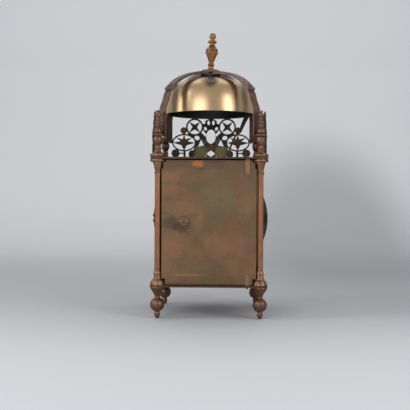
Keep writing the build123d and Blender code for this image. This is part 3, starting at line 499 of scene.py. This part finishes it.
FITTING_STAINS = (
    StainAndShade((0.033, 0.084, 0.131), (0.020, 0.016, 0.020), (0.25, 0.155, 0.08), 0.8),
    StainAndShade((-0.055, 0.074, 0.205), (0.030, 0.012, 0.030), (0.28, 0.175, 0.095), 0.85),
    StainAndShade((-0.055, 0.074, 0.055), (0.030, 0.012, 0.030), (0.28, 0.175, 0.095), 0.85),
    StainAndShade((0.082, -0.03, 0.131), (0.020, 0.03, 0.020), (0.03, 0.02, 0.015), 0.9),
    StainAndShade((-0.082, -0.03, 0.131), (0.020, 0.03, 0.020), (0.03, 0.02, 0.015), 0.9),
)
BELL_MARKS_AND_PAINTED_SHADE = (
    # Darker round the crown, under the strap crossing.
    StainAndShade((0.0, 0.0, 0.3300), (0.056, 0.056, 0.013), (0.25, 0.17, 0.095), 0.65),
    # Painted shadow and reflection of the boss: a dark patch on the near side of the crown.
    StainAndShade((-0.001, 0.048, 0.3205), (0.0165, 0.024, 0.0135), (0.075, 0.048, 0.038), 0.9),
    # Painted reflections of the two near straps: dark bands down the bell's sides.
    StainAndShade((-0.048, 0.034, 0.300), (0.0065, 0.03, 0.060), (0.12, 0.08, 0.05), 0.7),
    StainAndShade((0.048, 0.034, 0.300), (0.0065, 0.03, 0.060), (0.12, 0.08, 0.05), 0.75),
)
TURNED_HEIGHT_TONES = (
    # Tones by height: the shafts more orange; the feet and the urns darker.
    StainAndShade((0.0, 0.0, 0.130), (0.35, 0.35, 0.085), (0.285, 0.118, 0.056), 0.85),
    StainAndShade((0.0, 0.0, 0.018), (0.35, 0.35, 0.045), (0.135, 0.062, 0.042), 0.75),
    StainAndShade((0.0, 0.0, 0.243), (0.35, 0.35, 0.045), (0.125, 0.062, 0.040), 0.7),
)
FRET_STAINS = tuple(
    StainAndShade((side * across, -0.076, up), (reach, 0.012, reach), colour, strength)
    for side in (-1, 1)
    for across, up, reach, colour, strength in (
        (0.0407, 0.2439, 0.0085, (0.15, 0.065, 0.03), 0.9),
        (0.0412, 0.2623, 0.0070, (0.15, 0.065, 0.03), 0.9),
        (0.0536, 0.2278, 0.0075, (0.13, 0.065, 0.03), 0.8),
        (0.0247, 0.2675, 0.0080, (0.09, 0.045, 0.03), 0.8),
        (0.0150, 0.2290, 0.0150, (0.27, 0.225, 0.105), 0.85),
        (0.0110, 0.2450, 0.0085, (0.16, 0.14, 0.06), 0.7),
        (0.0001, 0.2370, 0.0070, (0.17, 0.075, 0.035), 0.8),
    )
)

FINISHES = (
    AgedMetal(
        "plate_brass",
        light=(0.09, 0.054, 0.033), middle=(0.06, 0.036, 0.023), dark=(0.025, 0.015, 0.011),
        metallic=0.7, smooth=0.36, rough=0.55,
    ),
    AgedMetal(
        "turned_bronze",
        light=(0.33, 0.175, 0.10), middle=(0.20, 0.10, 0.058), dark=(0.06, 0.03, 0.02),
        metallic=0.8, smooth=0.29, rough=0.50,
        blotch=0.010, grime=0.4, grain=Grain.TURNED, bump=0.14,
        stains_and_shade=TURNED_HEIGHT_TONES,
    ),
    AgedMetal(
        "strap_bronze",
        light=(0.165, 0.090, 0.062), middle=(0.11, 0.060, 0.042), dark=(0.05, 0.027, 0.02),
        metallic=0.65, smooth=0.34, rough=0.52,
        blotch=0.015, grime=0.4, grain=Grain.STRIP, bump=0.2,
    ),
    AgedMetal(
        "dark_bronze",
        light=(0.165, 0.105, 0.086), middle=(0.11, 0.07, 0.058), dark=(0.035, 0.023, 0.02),
        metallic=0.6, smooth=0.34, rough=0.55,
        blotch=0.008, grime=0.5, grain=Grain.STRIP, bump=0.5,
    ),
    AgedMetal(
        "finial_bronze",
        light=(0.34, 0.165, 0.06), middle=(0.17, 0.084, 0.04), dark=(0.05, 0.028, 0.018),
        metallic=0.75, smooth=0.28, rough=0.46,
        blotch=0.012, grime=0.45, grain=Grain.TURNED, bump=0.12,
    ),
    AgedMetal(
        "bell_brass",
        light=(0.57, 0.39, 0.225), middle=(0.49, 0.33, 0.18), dark=(0.30, 0.20, 0.11),
        metallic=0.95, smooth=0.27, rough=0.34,
        blotch=0.05, grime=0.2, grain=Grain.POLISHED, bump=0.05,
        stains_and_shade=BELL_MARKS_AND_PAINTED_SHADE,
        # Painted shade: the bell's inside is near-black and not metallic.
        inward_tone_and_shade=(0.006, 0.004, 0.002), heart=(0.0, 0.0, 0.275),
    ),
    AgedMetal(
        "fret_brass",
        light=(0.058, 0.042, 0.024), middle=(0.036, 0.026, 0.017), dark=(0.016, 0.011, 0.008),
        metallic=0.55, smooth=0.4, rough=0.62,
        blotch=0.02, grime=0.5, grain=Grain.CAST, bump=0.3,
        stains_and_shade=FRET_STAINS,
    ),
    AgedMetal(
        "door_brass",
        light=(0.20, 0.113, 0.054), middle=(0.14, 0.081, 0.039), dark=(0.075, 0.046, 0.025),
        metallic=0.5, smooth=0.44, rough=0.62,
        blotch=0.045, grime=0.45, grain=Grain.SHEET, bump=0.15,
        stains_and_shade=DOOR_STAINS_AND_PAINTED_SHADE,
        tints=((0.20, 0.078, 0.038), (0.092, 0.083, 0.04)),
    ),
    AgedMetal(
        "door_fittings",
        light=(0.12, 0.076, 0.048), middle=(0.08, 0.05, 0.034), dark=(0.035, 0.022, 0.017),
        metallic=0.65, smooth=0.34, rough=0.52,
        stains_and_shade=FITTING_STAINS,
    ),
    AgedMetal(
        "dial_brass",
        light=(0.46, 0.33, 0.16), middle=(0.38, 0.26, 0.12), dark=(0.16, 0.10, 0.05),
        metallic=0.85, smooth=0.35, rough=0.5,
        blotch=0.03, grime=0.3, grain=Grain.SHEET, bump=0.12,
    ),
    AgedMetal(
        "chapter_silvered",
        light=(0.62, 0.59, 0.51), middle=(0.50, 0.46, 0.38), dark=(0.26, 0.21, 0.15),
        metallic=0.6, smooth=0.35, rough=0.5,
        blotch=0.03, grime=0.3, grain=Grain.SHEET, bump=0.08,
        inward_tone_and_shade=(0.035, 0.026, 0.015), heart=(0.0, -0.080, 0.129),
    ),
    AgedMetal(
        "blued_steel",
        light=(0.05, 0.05, 0.06), middle=(0.03, 0.03, 0.04), dark=(0.05, 0.03, 0.02),
        metallic=0.8, smooth=0.3, rough=0.45,
    ),
    AgedMetal(
        "movement_brass",
        light=(0.50, 0.36, 0.16), middle=(0.42, 0.29, 0.13), dark=(0.18, 0.11, 0.05),
        metallic=0.9, smooth=0.3, rough=0.5,
    ),
    AgedMetal(
        "steel",
        light=(0.036, 0.032, 0.029), middle=(0.026, 0.023, 0.021), dark=(0.04, 0.024, 0.016),
        metallic=0.7, smooth=0.36, rough=0.56,
    ),
)


def piece_from(mesh: bmesh.types.BMesh, name: str, smooth: bool) -> bpy.types.Object:
    """Make an object of a finished bmesh.

    Args:
        mesh: The shape, in metres, in its place. It is freed.
        name: The object's name.
        smooth: Whether its faces are shaded smooth.

    Returns:
        The object.
    """
    bmesh.ops.recalc_face_normals(mesh, faces=mesh.faces)
    for face in mesh.faces:
        face.smooth = smooth
    data = bpy.data.meshes.new(name)
    mesh.to_mesh(data)
    mesh.free()
    made = bpy.data.objects.new(name, data)
    bpy.context.scene.collection.objects.link(made)
    return made


@dataclass
class Finisher:
    """Builds the finishes once and dresses pieces with them."""

    record: dict[str, Any]
    made: dict[str, bpy.types.Material] = field(default_factory=dict)

    def material(self, slot: str) -> bpy.types.Material:
        """Return the material of a slot, which is built when it is first asked for.

        Args:
            slot: The record's material slot.

        Returns:
            The material.
        """
        if slot not in self.made:
            self.made[slot] = next(finish for finish in FINISHES if finish.slot == slot).build()
        return self.made[slot]

    def dress_frame(self, nodes: dict[str, bpy.types.Object]) -> None:
        """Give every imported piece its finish.

        Args:
            nodes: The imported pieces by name.
        """
        for part in self.record["subparts"]:
            for slot in nodes[part["node"]].material_slots:
                slot.material = self.material(part["material_slot"])
            log.info("finished %s as %s", part["node"], part["material_slot"])

    def dress(self, piece: bpy.types.Object, slot: str, body: str) -> None:
        """Give a new piece its finish and the body that it rides on.

        Args:
            piece: The piece.
            slot: The record's material slot.
            body: The body's name.
        """
        piece.data.materials.clear()
        piece.data.materials.append(self.material(slot))
        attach(piece, body)
        log.info("made %s", piece.name)


@dataclass
class Chapters:
    """The numerals and tracks on the chapter ring.

    Attributes:
        numeral_height: The height of the numerals in metres.
        font_size: The size of the font for a numeral of height 1.
        numeral_rise: The height of numerals and tracks above the ring in metres.
        numeral_fineness: The number of steps in each curve of a numeral.
        ring_share: The width of the ring, as a share of its outer radius.
        track_width: The width of a track in metres.
        track_segments: The number of sides of a track.
        tracks: Each track's name, and its place from the ring's outer to its inner edge.
        numerals: The numerals, clockwise from the top.
    """

    numeral_height: float = 0.0125
    font_size: float = 1.35
    numeral_rise: float = 0.00025
    numeral_fineness: int = 3
    ring_share: float = 0.287
    track_width: float = 0.0006
    track_segments: int = 144
    tracks: tuple[tuple[str, float], ...] = (
        ("outer_track", 0.1),
        ("inner_track", 0.9),
        ("quarter_track", 0.8),
    )
    numerals: tuple[str, ...] = (
        "XII", "I", "II", "III", "IV", "V", "VI", "VII", "VIII", "IX", "X", "XI",
    )

    def numeral(
        self, text: str, turn: float, centre: Vector, radius: float, front: float
    ) -> bpy.types.Object:
        """Make one numeral, which stands with its foot to the centre.

        Args:
            text: The numeral.
            turn: Its angle clockwise from the top, in radians.
            centre: The dial's centre.
            radius: The distance from the centre to the numeral's middle.
            front: The Y of the ring's face.

        Returns:
            The numeral.
        """
        curve = bpy.data.curves.new(f"numeral_{text}", "FONT")
        curve.body = text
        curve.align_x = "CENTER"
        curve.align_y = "CENTER"
        curve.size = self.numeral_height * self.font_size
        curve.extrude = self.numeral_rise
        curve.resolution_u = self.numeral_fineness
        holder = bpy.data.objects.new(f"text_{text}", curve)
        data = bpy.data.meshes.new_from_object(holder)
        bpy.data.objects.remove(holder)
        upright = Matrix.Rotation(pi / 2, 4, "X")
        lean = Matrix.Rotation(turn, 4, "Y")
        across, up = centre.x + radius * sin(turn), centre.z + radius * cos(turn)
        data.transform(Matrix.Translation((across, front, up)) @ lean @ upright)
        made = bpy.data.objects.new(f"numeral_{text}", data)
        bpy.context.scene.collection.objects.link(made)
        return made

    def track(self, name: str, radius: float, centre: Vector, front: float) -> bpy.types.Object:
        """Make a thin engraved circle, filled with wax.

        Args:
            name: The piece's name.
            radius: The circle's radius.
            centre: The dial's centre.
            front: The Y of the ring's face.

        Returns:
            The circle.
        """
        mesh = bmesh.new()
        sides = self.track_segments
        inner = bmesh.ops.create_circle(mesh, segments=sides, radius=radius)["verts"]
        reach = radius + self.track_width
        outer = bmesh.ops.create_circle(mesh, segments=sides, radius=reach)["verts"]
        loops = [edge for edge in mesh.edges if edge.verts[0] in inner or edge.verts[0] in outer]
        bmesh.ops.bridge_loops(mesh, edges=loops)
        bmesh.ops.solidify(mesh, geom=mesh.faces[:], thickness=self.numeral_rise)
        upright = Matrix.Rotation(pi / 2, 3, "X")
        bmesh.ops.rotate(mesh, cent=(0, 0, 0), matrix=upright, verts=mesh.verts)
        bmesh.ops.translate(mesh, vec=(centre.x, front, centre.z), verts=mesh.verts)
        return piece_from(mesh, name, False)

    def build(self, finisher: Finisher) -> None:
        """Build all numerals and tracks.

        Args:
            finisher: Gives the finish.
        """
        low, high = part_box("chapter_ring")
        centre = Vector(((low[0] + high[0]) / 2, 0, (low[2] + high[2]) / 2))
        outside = (high[0] - low[0]) / 2
        width = outside * self.ring_share
        for hour, text in enumerate(self.numerals):
            turn = tau * hour / len(self.numerals)
            made = self.numeral(text, turn, centre, outside - width / 2, low[1])
            finisher.dress(made, "blued_steel", "case")
        for name, share in self.tracks:
            made = self.track(name, outside - width * share, centre, low[1])
            finisher.dress(made, "blued_steel", "case")


@dataclass(frozen=True)
class Lamp:
    """A soft rectangular lamp.

    Attributes:
        name: The lamp's name.
        azimuth: Degrees from +Y towards +X.
        rise: Degrees above the level of the target.
        away: Metres from the target.
        size: Width and height in metres.
        power: Watts.
    """

    name: str
    azimuth: float
    rise: float
    away: float
    size: tuple[float, float]
    power: float


@dataclass
class Studio:
    """Floor, backdrop, lamps and camera.

    Attributes:
        lens: The camera's focal length in millimetres.
        sensor: The width of its sensor in millimetres.
        near_clip: The nearest distance that it sees, in metres.
        eye: Its place in metres.
        yaw: Its turn to the side in degrees.
        pitch: Its dip in degrees.
        roll: Its roll in degrees.
        half_side: Half of the sweep's depth in metres, before it bends.
        stretch: How much wider than deep the sweep is.
        flat: Metres from the clock's axis to the start of the bend.
        bend: Metres of the sweep that bend.
        curl: How fast the bend rises.
        bend_run: How far the bend goes on, for each metre of it.
        wall_slope: How steeply the backdrop rises.
        bend_fade: The Y from which to which the bend's painted shade turns into the floor's colour.
        wall_fade: The Y from which to which the wall's colour turns into the bend's painted shade.
        top_light_fade: The Z from which to which the wall turns into its lighter top, which is
            painted light.
        shade_centre: The centre of the soft shade on the sweep, in metres.
        shade_reach: Its reach along each axis in metres.
        shade_fray: How much noise frays its edge.
        shade_strength: How much it covers at its centre, from 0 to 1.
        floor_roughness: The roughness of the sweep.
        room_colour: The colour of the room's even light.
        room_strength: The strength of that light.
        target: The point in metres that the lamps face.
        lamps: The lamps.
    """

    lens: float = 68.54
    sensor: float = 36.0
    near_clip: float = 0.01
    eye: Point = (-0.0172, 1.1086, 0.1677)
    yaw: float = -1.24
    pitch: float = 0.88
    roll: float = 0.32
    half_side: float = 3.0
    stretch: float = 2.0
    flat: float = 0.9
    bend: float = 1.2
    curl: float = 0.45
    bend_run: float = 0.7
    wall_slope: float = 3.0
    floor_colour: Colour = (0.60, 0.605, 0.62)
    bend_shade_colour: Colour = (0.44, 0.443, 0.455)
    wall_colour: Colour = (0.75, 0.752, 0.76)
    top_light_colour: Colour = (0.85, 0.85, 0.86)
    shade_colour: Colour = (0.255, 0.258, 0.27)
    bend_fade: tuple[float, float] = (-0.1, 0.4)
    wall_fade: tuple[float, float] = (-1.5, -0.4)
    top_light_fade: tuple[float, float] = (0.2, 0.9)
    shade_centre: Point = (-0.32, -1.05, 0.05)
    shade_reach: Point = (0.36, 1.35, 0.42)
    shade_fray: float = 0.2
    shade_strength: float = 0.58
    floor_roughness: float = 0.85
    room_colour: Colour = (0.80, 0.82, 0.86)
    room_strength: float = 0.65
    target: Point = (0, 0, 0.25)
    lamps: tuple[Lamp, ...] = (
        Lamp("window_left", 26, 15, 1.5, (0.80, 0.80), 7),
        Lamp("window_right", -48, 15, 1.3, (0.45, 0.80), 5.5),
        Lamp("window_side", 75, 22, 1.3, (0.40, 0.80), 5),
        Lamp("overhead", 180, 62, 1.6, (1.6, 1.2), 5),
    )

    def sweep(self) -> None:
        """Build the floor, which rises into the backdrop behind the clock."""
        mesh = bmesh.new()
        bmesh.ops.create_grid(mesh, x_segments=2, y_segments=60, size=self.half_side)
        for vert in mesh.verts:
            beyond = max(0.0, -vert.co.y - self.flat)
            lift = min(beyond, self.bend)
            climb = max(0.0, beyond - self.bend) * self.wall_slope
            vert.co.z = lift * lift * self.curl + climb
            if beyond > 0:
                vert.co.y = -self.flat - lift * self.bend_run
            vert.co.x *= self.stretch
        floor = piece_from(mesh, "studio_sweep", True)
        graph = Graph("studio")
        depth = graph.node("ShaderNodeSeparateXYZ", {}, {0: graph.place}, "Y")
        height = graph.node("ShaderNodeSeparateXYZ", {}, {0: graph.place}, "Z")
        # Painted shade: the bend behind the clock is darker than the floor and the wall.
        colour = graph.mix(depth.ramp(*self.bend_fade), self.bend_shade_colour, self.floor_colour)
        colour = graph.mix(1.0 - depth.ramp(*self.wall_fade), colour, self.wall_colour)
        # Painted light: the wall grows lighter towards its top.
        colour = graph.mix(height.ramp(*self.top_light_fade), colour, self.top_light_colour)
        # Painted shadow of the clock, soft, on the floor and the wall beside it.
        spot = graph.near(self.shade_centre, self.shade_reach, self.shade_fray)
        colour = graph.mix(spot * self.shade_strength, colour, self.shade_colour)
        graph.feed(Base_Color=colour, Roughness=self.floor_roughness)
        floor.data.materials.append(graph.material)

    def hang(self, lamp: Lamp) -> None:
        """Hang a lamp that faces the target.

        Args:
            lamp: The lamp.
        """
        data = bpy.data.lights.new(lamp.name, "AREA")
        data.shape = "RECTANGLE"
        data.size, data.size_y = lamp.size
        data.energy = lamp.power
        made = bpy.data.objects.new(lamp.name, data)
        turn, up = radians(lamp.azimuth), radians(lamp.rise)
        way = Vector((sin(turn) * cos(up), cos(turn) * cos(up), sin(up)))
        made.location = Vector(self.target) + way * lamp.away
        made.rotation_euler = (-way).to_track_quat("-Z", "Y").to_euler()
        bpy.context.scene.collection.objects.link(made)

    def camera(self) -> None:
        """Place the camera."""
        data = bpy.data.cameras.new("camera")
        data.sensor_width = self.sensor
        data.lens = self.lens
        data.clip_start = self.near_clip
        made = bpy.data.objects.new("camera", data)
        turn, dip = radians(self.yaw), radians(self.pitch)
        way = Vector((-sin(turn) * cos(dip), -cos(turn) * cos(dip), -sin(dip)))
        made.location = self.eye
        made.rotation_mode = "QUATERNION"
        roll = Quaternion((0, 0, 1), radians(self.roll))
        made.rotation_quaternion = way.to_track_quat("-Z", "Y") @ roll
        bpy.context.scene.collection.objects.link(made)
        bpy.context.scene.camera = made

    def world(self) -> None:
        """Fill the room with even light."""
        world = bpy.data.worlds.new("room")
        bpy.context.scene.world = world
        world.use_nodes = True
        sky = world.node_tree.nodes["Background"]
        sky.inputs["Color"].default_value = (*self.room_colour, 1)
        sky.inputs["Strength"].default_value = self.room_strength

    def build(self) -> None:
        """Build the whole studio."""
        self.camera()
        self.sweep()
        self.world()
        for lamp in self.lamps:
            self.hang(lamp)
        bpy.context.scene.view_settings.view_transform = "Standard"


def main() -> None:
    """Build the clock's looks and its studio."""
    logging.basicConfig(level=logging.INFO, format="%(message)s")
    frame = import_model()
    Studio().build()
    finisher = Finisher(frame["record"])
    finisher.dress_frame(frame["nodes"])
    Chapters().build(finisher)


if __name__ == "__main__":
    main()
